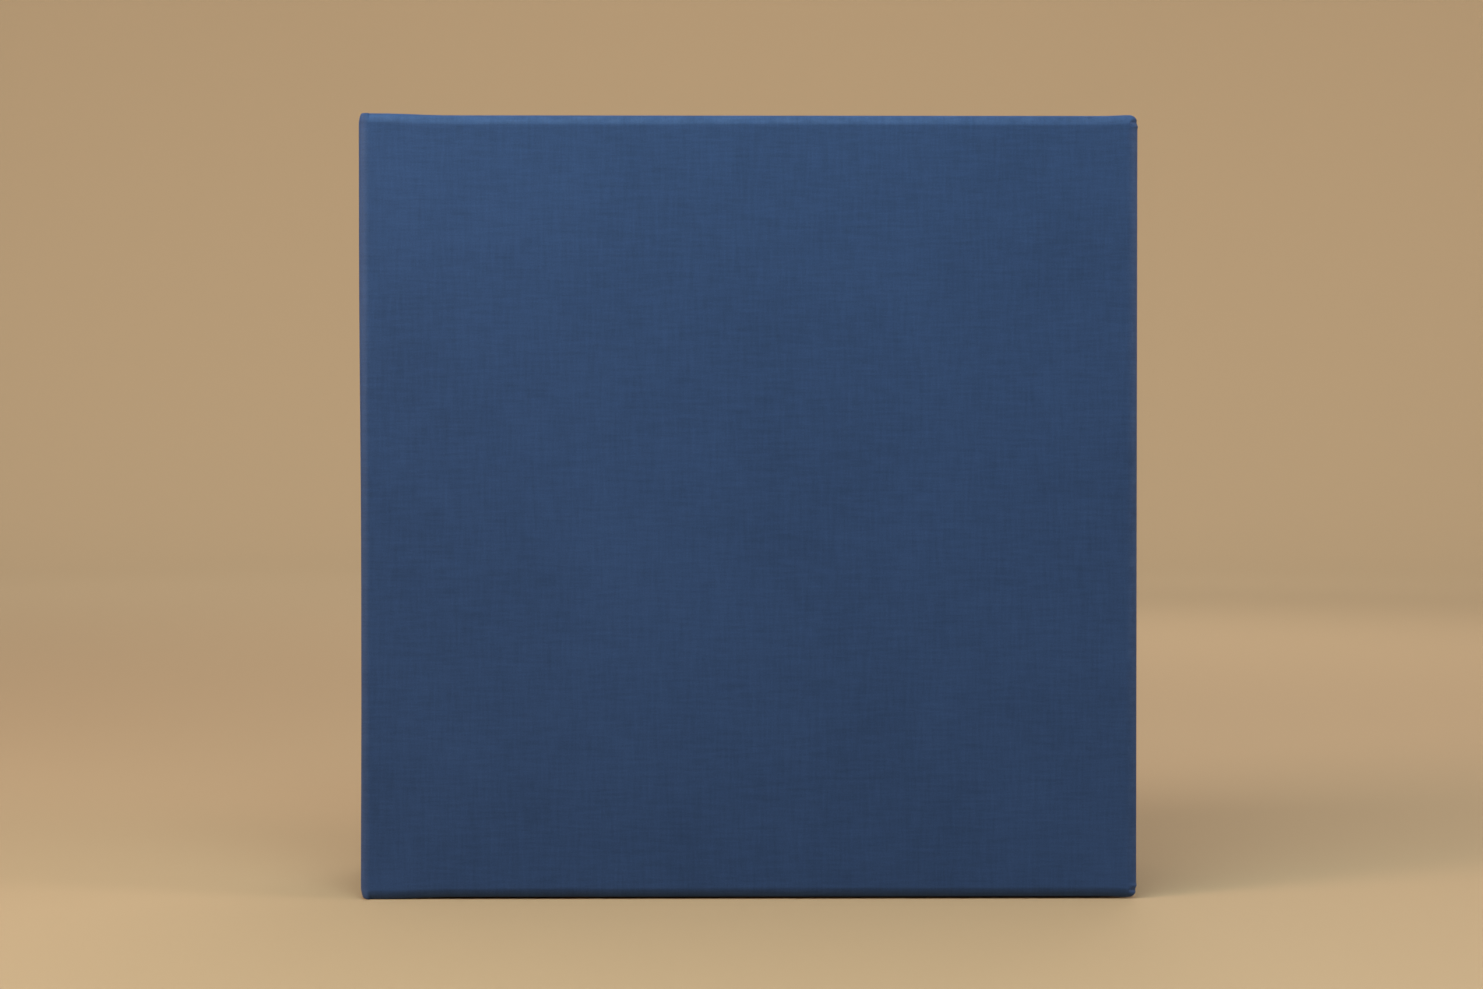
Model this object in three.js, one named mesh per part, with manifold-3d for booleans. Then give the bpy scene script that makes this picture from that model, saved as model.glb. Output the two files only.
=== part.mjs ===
// A drop-spine archival box: a cloth-covered case of three hinged boards, with a small tray glued to
// the back board and a large tray glued to the front board that closes over the small one.
// Millimetres, +Z up. The closed box stands on its tail edge: the front board faces -Y, the spine -X,
// and the origin is the middle of the footprint.
import * as THREE from "three";
import { mergeVertices } from "three/addons/utils/BufferGeometryUtils.js";
import Module from "manifold-3d";

// Case
const CASE_WIDTH = 328;
const CASE_HEIGHT = 330;
const COVER_BOARD = 2.5;
const CLOTH = 0.4;
const GLUE = 0.05;
const TURN_IN = 15; // how far the cover cloth runs on round each edge, over the inner face
const ROUND_ACROSS = 5.2; // rounding of a cover's outer rim, measured across its face
const ROUND_DEEP = 2.9; // the same rounding, measured into its thickness
const CORNER_RADIUS = 5.5;
const JOINT_RADIUS = 4.1; // bend of the cloth round a closed joint
const JOINT_CLOTH = 0.8; // cover cloth and hinge cloth, glued together where they bend
const JOINT_SPLIT = 0.3; // the bend is split on its hinge axis, half for each board
const HINGE_FLANGE = 20; // hinge cloth glued under a tray
const LINING_SHORT = 3; // the spine lining stops this far from head and tail

// Trays
const TRAY_BOARD = 2.5;
const PAPER = 0.2;
const CAVITY_DEPTH = 76.6;
const WALL_TIP_GAP = 0.6; // from a wall's tip to what it closes against
const SQUARE = 3; // how far the covers stand past the lid tray
const HEAD_TAIL_GAP = 1; // between the two trays' head walls, and between their tail walls
const FORE_EDGE_GAP = 3.6; // the lid tray swings in a little as the box opens
const TRAY_SETBACK = 0.5; // from the boards' spine edges to the trays' open ends
const PAPER_MARGIN = 0.3;

// Layers built up from those, as thicknesses or as depths from a cover's outer face
const SKIN = CLOTH + GLUE;
const COVER = SKIN + COVER_BOARD + SKIN;
const WALL = SKIN + TRAY_BOARD + SKIN;
const TRAY_UNDERSIDE = COVER + GLUE;
const FLOOR_TOP = TRAY_UNDERSIDE + TRAY_BOARD;
const PAPER_TOP = FLOOR_TOP + GLUE + PAPER;
const CASE_DEPTH = 2 * PAPER_TOP + CAVITY_DEPTH;

const LEFT = -CASE_WIDTH / 2;
const RIGHT = CASE_WIDTH / 2;
const BOARD_LEFT = LEFT + JOINT_RADIUS;
const TRAY_LEFT = BOARD_LEFT + TRAY_SETBACK;
const PAST = 10; // how far a cutting solid runs past what it cuts

// Each cover faces one way. Its depths are measured inwards from its own outer face.
const FRONT_SIDE = -1;
const BACK_SIDE = 1;

const wasm = await Module();
wasm.setup();

// ---- Solids -------------------------------------------------------------------------------------

function solidFrom(geometry) {
  const bare = geometry.clone();
  bare.deleteAttribute("normal");
  bare.deleteAttribute("uv");
  const merged = mergeVertices(bare, 1e-4);
  return new wasm.Manifold(
    new wasm.Mesh({
      numProp: 3,
      vertProperties: new Float32Array(merged.attributes.position.array),
      triVerts: new Uint32Array(merged.index.array),
    }),
  );
}

function geometryFrom(solid) {
  const mesh = solid.getMesh();
  const geometry = new THREE.BufferGeometry();
  geometry.setAttribute("position", new THREE.BufferAttribute(mesh.vertProperties, 3));
  geometry.setIndex(new THREE.BufferAttribute(mesh.triVerts, 1));
  geometry.computeVertexNormals();
  return geometry;
}

// A box between two corners, given in any order.
function block(cornerA, cornerB) {
  const size = cornerA.map((value, i) => Math.abs(value - cornerB[i]));
  const middle = cornerA.map((value, i) => (value + cornerB[i]) / 2);
  return new THREE.BoxGeometry(...size).translate(...middle);
}

function roundedRectangle(left, bottom, right, top, radius) {
  const outline = new THREE.Shape();
  outline.moveTo(left + radius, bottom);
  outline.absarc(right - radius, bottom + radius, radius, -Math.PI / 2, 0, false);
  outline.absarc(right - radius, top - radius, radius, 0, Math.PI / 2, false);
  outline.absarc(left + radius, top - radius, radius, Math.PI / 2, Math.PI, false);
  outline.absarc(left + radius, bottom + radius, radius, Math.PI, Math.PI * 1.5, false);
  return outline;
}

// ---- Case ---------------------------------------------------------------------------------------

// A cover lies in its own plane while it is made: x across the box, y up it, z out of its face, which
// is at z = 0. This slab has its outer rim rounded, and lies inset from left..right and 0..height.
// Its outer face is top below z = 0 and its inner face is bottom below it.
function pillow(left, right, inset, top, bottom) {
  const outline = roundedRectangle(
    left + ROUND_ACROSS,
    ROUND_ACROSS,
    right - ROUND_ACROSS,
    CASE_HEIGHT - ROUND_ACROSS,
    CORNER_RADIUS - ROUND_ACROSS,
  );
  const roundDeep = ROUND_DEEP - inset;
  const twoSided = new THREE.ExtrudeGeometry(outline, {
    depth: COVER,
    bevelThickness: roundDeep,
    bevelSize: ROUND_ACROSS - inset,
    bevelSegments: 5,
    curveSegments: 5,
  }).translate(0, 0, -top - roundDeep - COVER);
  const kept = block([left, 0, -bottom], [right, CASE_HEIGHT, 0]);
  return solidFrom(twoSided).intersect(solidFrom(kept));
}

// The board and cloth of one cover from left to right, each end either free or bending into a joint.
function coverPanel(left, right, jointLeft, jointRight) {
  const longLeft = jointLeft ? left - PAST : left;
  const longRight = jointRight ? right + PAST : right;
  const span = solidFrom(block([left, 0, -COVER], [right, CASE_HEIGHT, 0]));
  const boardTop = SKIN;
  const boardBottom = SKIN + COVER_BOARD;
  const board = pillow(longLeft, longRight, SKIN, boardTop, boardBottom);
  const pocket = pillow(longLeft, longRight, CLOTH, CLOTH, boardBottom + GLUE);
  const outer = pillow(longLeft, longRight, 0, 0, COVER);
  const window = block(
    [jointLeft ? longLeft : left + TURN_IN, TURN_IN, -COVER - PAST],
    [jointRight ? longRight : right - TURN_IN, CASE_HEIGHT - TURN_IN, -boardBottom],
  );
  return {
    board: geometryFrom(board.intersect(span)),
    cloth: geometryFrom(outer.intersect(span).subtract(pocket).subtract(solidFrom(window))),
  };
}

// Stands a cover up facing -Y for no quarter turns, -X for one and +Y for two, at its distance out.
function stand(geometry, quarterTurns, distance) {
  return geometry
    .rotateX(Math.PI / 2)
    .translate(0, -distance, 0)
    .rotateZ((-quarterTurns * Math.PI) / 2);
}

function frontPanel() {
  const { board, cloth } = coverPanel(BOARD_LEFT, RIGHT, true, false);
  return { board: stand(board, 0, CASE_DEPTH / 2), cloth: stand(cloth, 0, CASE_DEPTH / 2) };
}

function spinePanel() {
  const reach = CASE_DEPTH / 2 - JOINT_RADIUS;
  const { board, cloth } = coverPanel(-reach, reach, true, true);
  return { board: stand(board, 1, CASE_WIDTH / 2), cloth: stand(cloth, 1, CASE_WIDTH / 2) };
}

function backPanel() {
  const { board, cloth } = coverPanel(-RIGHT, -BOARD_LEFT, false, true);
  return { board: stand(board, 2, CASE_DEPTH / 2), cloth: stand(cloth, 2, CASE_DEPTH / 2) };
}

// Half of a joint's cloth: an upright strip bent round the middle of the joint, from one angle to
// another, in degrees about +Z.
function jointCloth(side, fromDegrees, toDegrees) {
  const middleX = BOARD_LEFT;
  const middleY = side * (CASE_DEPTH / 2 - JOINT_RADIUS);
  const from = THREE.MathUtils.degToRad(fromDegrees);
  const to = THREE.MathUtils.degToRad(toDegrees);
  const outline = new THREE.Shape();
  outline.absarc(middleX, middleY, JOINT_RADIUS, from, to, false);
  outline.absarc(middleX, middleY, JOINT_RADIUS - JOINT_CLOTH, to, from, true);
  const strip = new THREE.ExtrudeGeometry(outline, {
    depth: CASE_HEIGHT - 2 * SKIN,
    bevelEnabled: false,
    curveSegments: 6,
  });
  return strip.translate(0, 0, SKIN);
}

const HALF_SPLIT = THREE.MathUtils.radToDeg(JOINT_SPLIT / 2 / JOINT_RADIUS);
const JOINT_END = THREE.MathUtils.radToDeg(GLUE / JOINT_RADIUS);

// The hinge cloth where it lines the spine. It steps up over the cover cloth's turn-ins.
function spineLining() {
  const reach = CASE_DEPTH / 2 - JOINT_RADIUS;
  const low = COVER - CLOTH;
  const high = COVER + GLUE;
  const step = TURN_IN + GLUE;
  const sheet = (bottom, top, depth, thickness) =>
    solidFrom(block([LEFT + depth, -reach, bottom], [LEFT + depth + thickness, reach, top]));
  const riser = high + CLOTH - low;
  const top = CASE_HEIGHT - LINING_SHORT;
  const lining = sheet(step, CASE_HEIGHT - step, low, CLOTH)
    .add(sheet(step, step + CLOTH, low, riser))
    .add(sheet(CASE_HEIGHT - step - CLOTH, CASE_HEIGHT - step, low, riser))
    .add(sheet(LINING_SHORT, step + CLOTH, high, CLOTH))
    .add(sheet(CASE_HEIGHT - step - CLOTH, top, high, CLOTH));
  return geometryFrom(lining);
}

// The hinge cloth where it is glued to a cover board, between the turn-ins and under the tray.
function hingeFlange(side) {
  const short = TURN_IN + 2 * PAPER_MARGIN;
  return sideBlock(
    side,
    [BOARD_LEFT, BOARD_LEFT + HINGE_FLANGE],
    [short, CASE_HEIGHT - short],
    [COVER - CLOTH, COVER],
  );
}

// ---- Trays --------------------------------------------------------------------------------------

// A box given by ranges of x, of z and of depth from one cover's outer face.
function sideBlock(side, [x0, x1], [z0, z1], [depth0, depth1]) {
  const y = (depth) => side * (CASE_DEPTH / 2 - depth);
  return block([x0, y(depth0), z0], [x1, y(depth1), z1]);
}

// A tray of a floor with walls on three sides, open towards the spine. right and bottom are where its
// cloth ends at fore-edge and tail, and tip is the depth of the wall tips' cloth.
function tray(side, right, bottom, tip) {
  const top = CASE_HEIGHT - bottom;
  const boardX = [TRAY_LEFT + SKIN, right - SKIN];
  const boardZ = [bottom + SKIN, top - SKIN];
  const innerX = boardX[1] - TRAY_BOARD;
  const innerZ = [boardZ[0] + TRAY_BOARD, boardZ[1] - TRAY_BOARD];
  const wallDepth = [TRAY_UNDERSIDE, tip - SKIN];
  const wallsAt = (grow) => ({
    headWall: sideBlock(
      side,
      [boardX[0] - grow, boardX[1] + grow],
      [innerZ[1] - grow, boardZ[1] + grow],
      [wallDepth[0] - grow, wallDepth[1] + grow],
    ),
    tailWall: sideBlock(
      side,
      [boardX[0] - grow, boardX[1] + grow],
      [boardZ[0] - grow, innerZ[0] + grow],
      [wallDepth[0] - grow, wallDepth[1] + grow],
    ),
    foreEdgeWall: sideBlock(
      side,
      [innerX - grow, boardX[1] + grow],
      [innerZ[0] + GLUE - grow, innerZ[1] - GLUE + grow],
      [wallDepth[0] - grow, wallDepth[1] + grow],
    ),
  });
  const floorAt = (grow, under) =>
    sideBlock(
      side,
      [boardX[0] - grow, innerX - GLUE + grow],
      [innerZ[0] + GLUE - grow, innerZ[1] - GLUE + grow],
      [TRAY_UNDERSIDE - under, FLOOR_TOP + grow],
    );
  const hollow = sideBlock(
    side,
    [TRAY_LEFT - PAST, right - WALL],
    [bottom + WALL, top - WALL],
    [FLOOR_TOP, tip + PAST],
  );
  const whole = sideBlock(side, [TRAY_LEFT, right], [bottom, top], [TRAY_UNDERSIDE, tip]);
  const removed = [...Object.values(wallsAt(GLUE)), floorAt(GLUE, GLUE), hollow];
  const cloth = removed.reduce((left, cut) => left.subtract(solidFrom(cut)), solidFrom(whole));
  const lining = sideBlock(
    side,
    [TRAY_LEFT + PAPER_MARGIN, right - WALL - PAPER_MARGIN],
    [bottom + WALL + PAPER_MARGIN, top - WALL - PAPER_MARGIN],
    [FLOOR_TOP + GLUE, PAPER_TOP],
  );
  return { ...wallsAt(0), floor: floorAt(0, 0), cloth: geometryFrom(cloth), lining };
}

function lidTray() {
  return tray(FRONT_SIDE, RIGHT - SQUARE, SQUARE, CASE_DEPTH - COVER - WALL_TIP_GAP);
}

function baseTray() {
  return tray(
    BACK_SIDE,
    RIGHT - SQUARE - WALL - FORE_EDGE_GAP,
    SQUARE + WALL + HEAD_TAIL_GAP,
    CASE_DEPTH - PAPER_TOP - WALL_TIP_GAP,
  );
}

// ---- Assembly -----------------------------------------------------------------------------------

const FINISHES = {
  board: { color: 0x8a8478, roughness: 0.95 },
  cloth: { color: 0x30476d, roughness: 0.85 },
  hingeCloth: { color: 0x2b4063, roughness: 0.85 },
  paper: { color: 0xe6dfcf, roughness: 0.9 },
};

function piece(name, finish, geometry) {
  const material = new THREE.MeshStandardMaterial({ ...FINISHES[finish], metalness: 0 });
  const mesh = new THREE.Mesh(geometry, material);
  mesh.name = name;
  return mesh;
}

function trayPieces(name, parts) {
  return [
    piece(`${name}_floor`, "board", parts.floor),
    piece(`${name}_head_wall`, "board", parts.headWall),
    piece(`${name}_tail_wall`, "board", parts.tailWall),
    piece(`${name}_fore_edge_wall`, "board", parts.foreEdgeWall),
    piece(`${name}_cloth`, "cloth", parts.cloth),
    piece(`${name}_lining`, "paper", parts.lining),
  ];
}

function baseGroup() {
  const panel = backPanel();
  return new THREE.Group().add(
    piece("back_board", "board", panel.board),
    piece("back_cover_cloth", "cloth", panel.cloth),
    piece("back_joint_cloth", "cloth", jointCloth(BACK_SIDE, 90 + JOINT_END, 135 - HALF_SPLIT)),
    piece("back_hinge_flange", "hingeCloth", hingeFlange(BACK_SIDE)),
    ...trayPieces("base_tray", baseTray()),
  );
}

function spineGroup() {
  const panel = spinePanel();
  const backHalf = jointCloth(BACK_SIDE, 135 + HALF_SPLIT, 180 - JOINT_END);
  const frontHalf = jointCloth(FRONT_SIDE, 180 + JOINT_END, 225 - HALF_SPLIT);
  return new THREE.Group().add(
    piece("spine_board", "board", panel.board),
    piece("spine_cover_cloth", "cloth", panel.cloth),
    piece("spine_back_joint_cloth", "cloth", backHalf),
    piece("spine_front_joint_cloth", "cloth", frontHalf),
    piece("spine_lining", "hingeCloth", spineLining()),
  );
}

function lidGroup() {
  const panel = frontPanel();
  return new THREE.Group().add(
    piece("front_board", "board", panel.board),
    piece("front_cover_cloth", "cloth", panel.cloth),
    piece("front_joint_cloth", "cloth", jointCloth(FRONT_SIDE, 225 + HALF_SPLIT, 270 - JOINT_END)),
    piece("front_hinge_flange", "hingeCloth", hingeFlange(FRONT_SIDE)),
    ...trayPieces("lid_tray", lidTray()),
  );
}

const archivalBox = new THREE.Group();
archivalBox.add(baseGroup(), spineGroup(), lidGroup());

export default archivalBox;
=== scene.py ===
"""The looks of a drop-spine archival box in blue book cloth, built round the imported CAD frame.

Metres, in the frame's axes: the closed box stands on its tail edge at z = 0, its front cover faces -Y
and its spine -X. Boards and tray walls are CAD nodes; every layer of cloth and paper is built here.
"""
import math

import bmesh
import bpy
import numpy as np
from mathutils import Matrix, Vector


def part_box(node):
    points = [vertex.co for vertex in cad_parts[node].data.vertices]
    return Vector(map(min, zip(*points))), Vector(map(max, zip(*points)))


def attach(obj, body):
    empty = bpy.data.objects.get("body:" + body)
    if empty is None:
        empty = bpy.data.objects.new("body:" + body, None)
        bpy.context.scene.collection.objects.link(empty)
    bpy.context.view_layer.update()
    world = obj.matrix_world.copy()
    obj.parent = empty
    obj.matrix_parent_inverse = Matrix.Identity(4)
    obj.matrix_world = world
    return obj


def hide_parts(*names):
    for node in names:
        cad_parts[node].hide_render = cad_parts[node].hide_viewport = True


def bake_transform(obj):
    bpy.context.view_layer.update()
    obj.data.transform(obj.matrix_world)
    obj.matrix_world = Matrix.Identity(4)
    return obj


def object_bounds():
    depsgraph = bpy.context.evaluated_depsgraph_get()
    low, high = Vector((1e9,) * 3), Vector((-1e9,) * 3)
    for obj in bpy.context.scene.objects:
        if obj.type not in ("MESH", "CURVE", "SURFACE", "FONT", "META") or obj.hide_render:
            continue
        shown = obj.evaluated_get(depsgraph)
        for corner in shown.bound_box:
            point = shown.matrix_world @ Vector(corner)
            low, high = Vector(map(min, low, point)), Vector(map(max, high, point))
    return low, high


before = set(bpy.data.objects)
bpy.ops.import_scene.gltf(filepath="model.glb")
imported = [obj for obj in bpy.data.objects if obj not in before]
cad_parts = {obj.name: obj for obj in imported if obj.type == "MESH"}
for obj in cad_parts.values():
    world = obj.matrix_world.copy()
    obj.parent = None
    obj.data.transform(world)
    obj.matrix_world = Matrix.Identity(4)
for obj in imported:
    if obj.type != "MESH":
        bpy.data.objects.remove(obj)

MM = 0.001
CAD_LOW, CAD_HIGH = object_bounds()

# ---- Sizes ---------------------------------------------------------------------------------------

# The closed box and its covered boards, from the frame
LEFT, RIGHT = CAD_LOW.x, CAD_HIGH.x
FRONT, BACK = CAD_LOW.y, CAD_HIGH.y
TAIL, HEAD = CAD_LOW.z, CAD_HIGH.z
COVER_LOW, COVER_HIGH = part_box("front_cover_cloth")
BOARD_LEFT = COVER_LOW.x  # the boards' spine edges, where the joints begin
COVER = COVER_HIGH.y - FRONT  # a covered board's thickness
JOINT_RADIUS = BOARD_LEFT - LEFT

CLOTH = 0.4 * MM
GLUE = 0.05 * MM
TURN_IN = 15 * MM  # how far the cloth runs in over a board's inner face

# The rounded rim of a cover: how far it reaches across the face and into the thickness
RIM_ACROSS = 4.3 * MM
RIM_DEEP = 2.2 * MM
SPINE_RIM_ACROSS = 4.8 * MM  # the spine's head and tail ends are rounder
SPINE_RIM_DEEP = 2.8 * MM
RIM_FLATNESS = 1.35  # 1 is an ellipse, 2 a straight chamfer
RIM_INNER_ROUND = 0.5 * MM
FACE_EDGE = 5 * MM  # the flat face ends this far inside the outline
CORNER_RADIUS = 3.4 * MM

# The same rim in the middle of a joint, where no board fills the cloth
SOFT_ACROSS = 3.6 * MM
SOFT_DEEP = 0.8 * MM
SOFT_INNER_ROUND = 0.35 * MM
JOINT_THICK = 1.2 * MM  # cover cloth, paste and hinge cloth
GROOVE_STEEPNESS = 4

# How fine the meshes are
FACE_STEP = 8 * MM
RIM_ROWS = 13  # round a rim
BEND_ROWS = 5  # round a small bend
EDGE_ROWS = 6  # round a tray floor's edge
TIP_ROWS = 7  # round each side of a tray wall's tip
CLIMB_ROWS = 7  # where one layer climbs over another
CLOSE_ROWS = 17  # beside each corner of an outline, where the folds are
TURN_ROWS = 9  # round each corner of an outline, with its two ends

WELD = 0.002 * MM  # points closer than this are one
SHARP = math.radians(50)  # edges that bend more than this stay crisp


# ---- Mesh building -------------------------------------------------------------------------------


def smoothstep(low, high, value):
    t = np.clip((value - low) / (high - low), 0, 1)
    return t * t * (3 - 2 * t)


def steps(low, high, size):
    """Evenly spaced values from low to high, about size apart."""
    return np.linspace(low, high, max(int(round(abs(high - low) / size)), 1) + 1)


class Patch:
    """A grid of points with texture coordinates along the cloth, in metres, and a value that paints it
    pale, for rubbing and as a painted highlight.
    """

    def __init__(self, points, uv, wear_and_highlight=None):
        self.points = np.asarray(points, float)
        self.uv = np.asarray(uv, float)
        self.wear_and_highlight = np.zeros(self.points.shape[:2]) if wear_and_highlight is None else np.asarray(wear_and_highlight, float)

    def mirrored(self, girth):
        """The same patch on the other side of the box, further along the girth of the cloth."""
        uv = self.uv.copy()
        uv[..., 0] = girth - uv[..., 0]
        return Patch(self.points * (1, -1, 1), uv, self.wear_and_highlight)

    def moved(self, shift):
        return Patch(shift(self.points), self.uv, self.wear_and_highlight)


def quads(rows, columns, first):
    index = np.arange(rows * columns).reshape(rows, columns) + first
    corners = (index[:-1, :-1], index[1:, :-1], index[1:, 1:], index[:-1, 1:])
    return np.stack([c.ravel() for c in corners], axis=1)


def caps_of(patch, first):
    """The two end faces of a patch whose rows close on themselves: its first and last columns."""
    rows, columns = patch.points.shape[:2]
    index = np.arange(rows * columns).reshape(rows, columns) + first
    return [index[:-1, 0].tolist(), index[:-1, -1].tolist()]


def outward_mesh(name, patches, outward, closed_rows=False, end_caps=()):
    """One mesh of the patches, welded where they meet, facing out where it lies furthest along outward.

    closed_rows says that each patch closes on itself and has two end faces. end_caps holds functions that
    list the points of one more face from a patch's rows and columns.
    """
    points, uvs, wear_and_highlight_values, faces, first = [], [], [], [], 0
    for patch in patches:
        rows, columns = patch.points.shape[:2]
        faces += quads(rows, columns, first).tolist()
        if closed_rows:
            faces += caps_of(patch, first)
        faces += [[first + i for i in cap(rows, columns)] for cap in end_caps]
        points.append(patch.points.reshape(-1, 3))
        uvs.append(patch.uv.reshape(-1, 2))
        wear_and_highlight_values.append(patch.wear_and_highlight.ravel())
        first += rows * columns
    points, uvs, wear_and_highlight_values = np.concatenate(points), np.concatenate(uvs), np.concatenate(wear_and_highlight_values)
    mesh = bpy.data.meshes.new(name)
    mesh.from_pydata(points.tolist(), [], faces)
    layer = mesh.uv_layers.new(name="UVMap")
    corner_vertex = np.zeros(len(mesh.loops), np.int32)
    mesh.loops.foreach_get("vertex_index", corner_vertex)
    layer.data.foreach_set("uv", uvs[corner_vertex].astype(np.float32).ravel())
    # a point value that paints the cloth pale: real rubbing on the joints, and on the rims' ridges also a
    # painted highlight
    wear_and_highlight = mesh.attributes.new("wear_and_highlight", "FLOAT", "POINT")
    wear_and_highlight.data.foreach_set("value", wear_and_highlight_values.astype(np.float32))
    weld_and_orient(mesh, outward)
    return mesh


def weld_and_orient(mesh, outward):
    bm = bmesh.new()
    bm.from_mesh(mesh)
    bmesh.ops.remove_doubles(bm, verts=bm.verts, dist=WELD)
    bmesh.ops.dissolve_degenerate(bm, dist=WELD, edges=bm.edges)
    bmesh.ops.recalc_face_normals(bm, faces=bm.faces)
    direction = np.array(outward, float)
    furthest = max(bm.faces, key=lambda f: (np.array(f.calc_center_median()) @ direction, f.calc_area()))
    if np.array(furthest.normal) @ direction < 0:
        bmesh.ops.reverse_faces(bm, faces=bm.faces)
    bm.to_mesh(mesh)
    bm.free()


def new_piece(name, mesh, material, thickness=None):
    """An object from a mesh, given its thickness inwards from the outer surface, with crisp cut edges."""
    piece = bpy.data.objects.new(name, mesh)
    bpy.context.scene.collection.objects.link(piece)
    if thickness:
        solidify = piece.modifiers.new("thickness", "SOLIDIFY")
        solidify.thickness = thickness
        solidify.offset = -1
        solidify.use_even_offset = True
        solidify.use_quality_normals = True
        graph = bpy.context.evaluated_depsgraph_get()
        piece.data = bpy.data.meshes.new_from_object(piece.evaluated_get(graph))
        piece.modifiers.clear()
    piece.data.name = name
    piece.data.shade_smooth()
    piece.data.set_sharp_from_angle(angle=SHARP)
    piece.data.materials.clear()
    piece.data.materials.append(material)
    return piece


# ---- Rims and outlines ---------------------------------------------------------------------------

LAP_ROWS = (1.5 * MM, FACE_EDGE, 8 * MM)  # rows on the turn-in before its end
RIDGE_AT = 0.45 * RIM_ACROSS  # the ridge between face and edge, painted pale for rubbing and as a painted highlight
RIDGE_WIDTH = 0.5 * RIM_ACROSS
WEAR_AND_HIGHLIGHT_AT_TAIL = 0.25  # the tail's rim is painted less pale than the others, as painted shade where it faces the floor, and the spine's ends like it
WEAR_AND_HIGHLIGHT_GROWS = 20 * MM  # from the tail, over this height


def rim_profile(weight=1.0, of_spine=0.0, turn_in=TURN_IN):
    """A cover cloth's section over a free edge, as (inset from the edge, depth from the face).

    weight 1 is over a board and 0 in the middle of a joint. of_spine is 1 on the spine and 0 on a cover.
    The rows run from the face, round the rim and back over the inner face.
    """
    board_across = RIM_ACROSS + (SPINE_RIM_ACROSS - RIM_ACROSS) * of_spine
    board_deep = RIM_DEEP + (SPINE_RIM_DEEP - RIM_DEEP) * of_spine
    across = SOFT_ACROSS + (board_across - SOFT_ACROSS) * weight
    deep = SOFT_DEEP + (board_deep - SOFT_DEEP) * weight
    inner_depth = JOINT_THICK + (COVER - JOINT_THICK) * weight
    inner_round = SOFT_INNER_ROUND + (RIM_INNER_ROUND - SOFT_INNER_ROUND) * weight
    turn = np.linspace(0, math.pi / 2, RIM_ROWS)
    outer = np.stack(
        [across * (1 - np.sin(turn) ** RIM_FLATNESS), deep * (1 - np.cos(turn) ** RIM_FLATNESS)], axis=1
    )
    bend = np.linspace(0, math.pi / 2, BEND_ROWS)
    inner = np.stack(
        [inner_round * (1 - np.cos(bend)), inner_depth - inner_round * (1 - np.sin(bend))], axis=1
    )
    face_edge = [[FACE_EDGE, 0]]
    lap = [[inset, inner_depth] for inset in (*LAP_ROWS, turn_in)]
    return np.concatenate([face_edge, outer, inner, lap])


def run_along(profile):
    """Distance along a profile's rows, from its first."""
    lengths = np.linalg.norm(np.diff(profile, axis=0), axis=1)
    return np.concatenate([[0], np.cumsum(lengths)])


def bell(value, middle, width):
    return np.exp(-(((value - middle) / width) ** 2))


def rim_wear_and_highlight(profile, height):
    """How pale a rim is painted, for rubbing and as a painted highlight: most on the ridge between face
    and edge, and less by the tail, as painted shade.
    """
    inset, depth = profile[:, 0], profile[:, 1]
    # the ridge is painted pale for rubbing and as a painted highlight; the tail's lower share below is
    # painted shade
    ridge = bell(inset, RIDGE_AT, RIDGE_WIDTH) * (depth < RIM_DEEP)
    along = WEAR_AND_HIGHLIGHT_AT_TAIL + (1 - WEAR_AND_HIGHLIGHT_AT_TAIL) * smoothstep(TAIL, TAIL + WEAR_AND_HIGHLIGHT_GROWS, height)
    return ridge[:, None] * along[None, :]


class Outline:
    """A U of tail, fore-edge and head, open towards the spine, with rounded corners at the fore-edge."""

    def __init__(self, left, right, bottom, top, radius, inner, step):
        self.right, self.bottom, self.top, self.radius = right, bottom, top, radius
        self.across = steps(left, right - inner, step)
        close = np.linspace(0, step, CLOSE_ROWS)
        middle = steps(bottom + inner + step, top - inner - step, step)[1:-1]
        self.up = np.concatenate([bottom + inner + close, middle, top - inner - close[::-1]])
        self.turns = np.linspace(0, math.pi / 2, TURN_ROWS)[1:-1]

    def ring(self, inset):
        """The U inset by a distance, as points (x, z), and the outward direction at each."""
        corner = max(inset, self.radius)
        rounding = max(self.radius - inset, 0)
        end_x, low_z, high_z = self.right - corner, self.bottom + corner, self.top - corner
        across = np.append(np.minimum(self.across, end_x), end_x)
        up = np.concatenate([[low_z], np.clip(self.up, low_z, high_z), [high_z]])
        tail = np.stack([across, np.full_like(across, self.bottom + inset)], axis=1)
        fore_edge = np.stack([np.full_like(up, self.right - inset), up], axis=1)
        head = np.stack([across, np.full_like(across, self.top - inset)], axis=1)[::-1]
        tail_out = np.stack([np.sin(self.turns), -np.cos(self.turns)], axis=1)
        head_out = np.stack([np.cos(self.turns), np.sin(self.turns)], axis=1)
        points = [
            tail,
            np.array([end_x, low_z]) + rounding * tail_out,
            fore_edge,
            np.array([end_x, high_z]) + rounding * head_out,
            head,
        ]
        outward = [
            np.tile((0, -1), (len(tail), 1)),
            tail_out,
            np.tile((1, 0), (len(fore_edge), 1)),
            head_out,
            np.tile((0, 1), (len(head), 1)),
        ]
        return np.concatenate(points), np.concatenate(outward)


# ---- Small departures from a perfect shape -------------------------------------------------------

# A pair is where an effect is full and where it ends, as distances from the edge that it belongs to.
PROUD_HEAD = 0.8 * MM  # the cloth is folded double over the joints, so the case stands proud there
PROUD_TAIL = 0.9 * MM
PROUD_FOLD = 0.35 * MM  # the folded corners at the fore-edge
PROUD_FROM_END = (3 * MM, 22 * MM)
PROUD_FROM_SPINE = (8 * MM, 38 * MM)
PROUD_FROM_FORE_EDGE = (4 * MM, 14 * MM)

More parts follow.
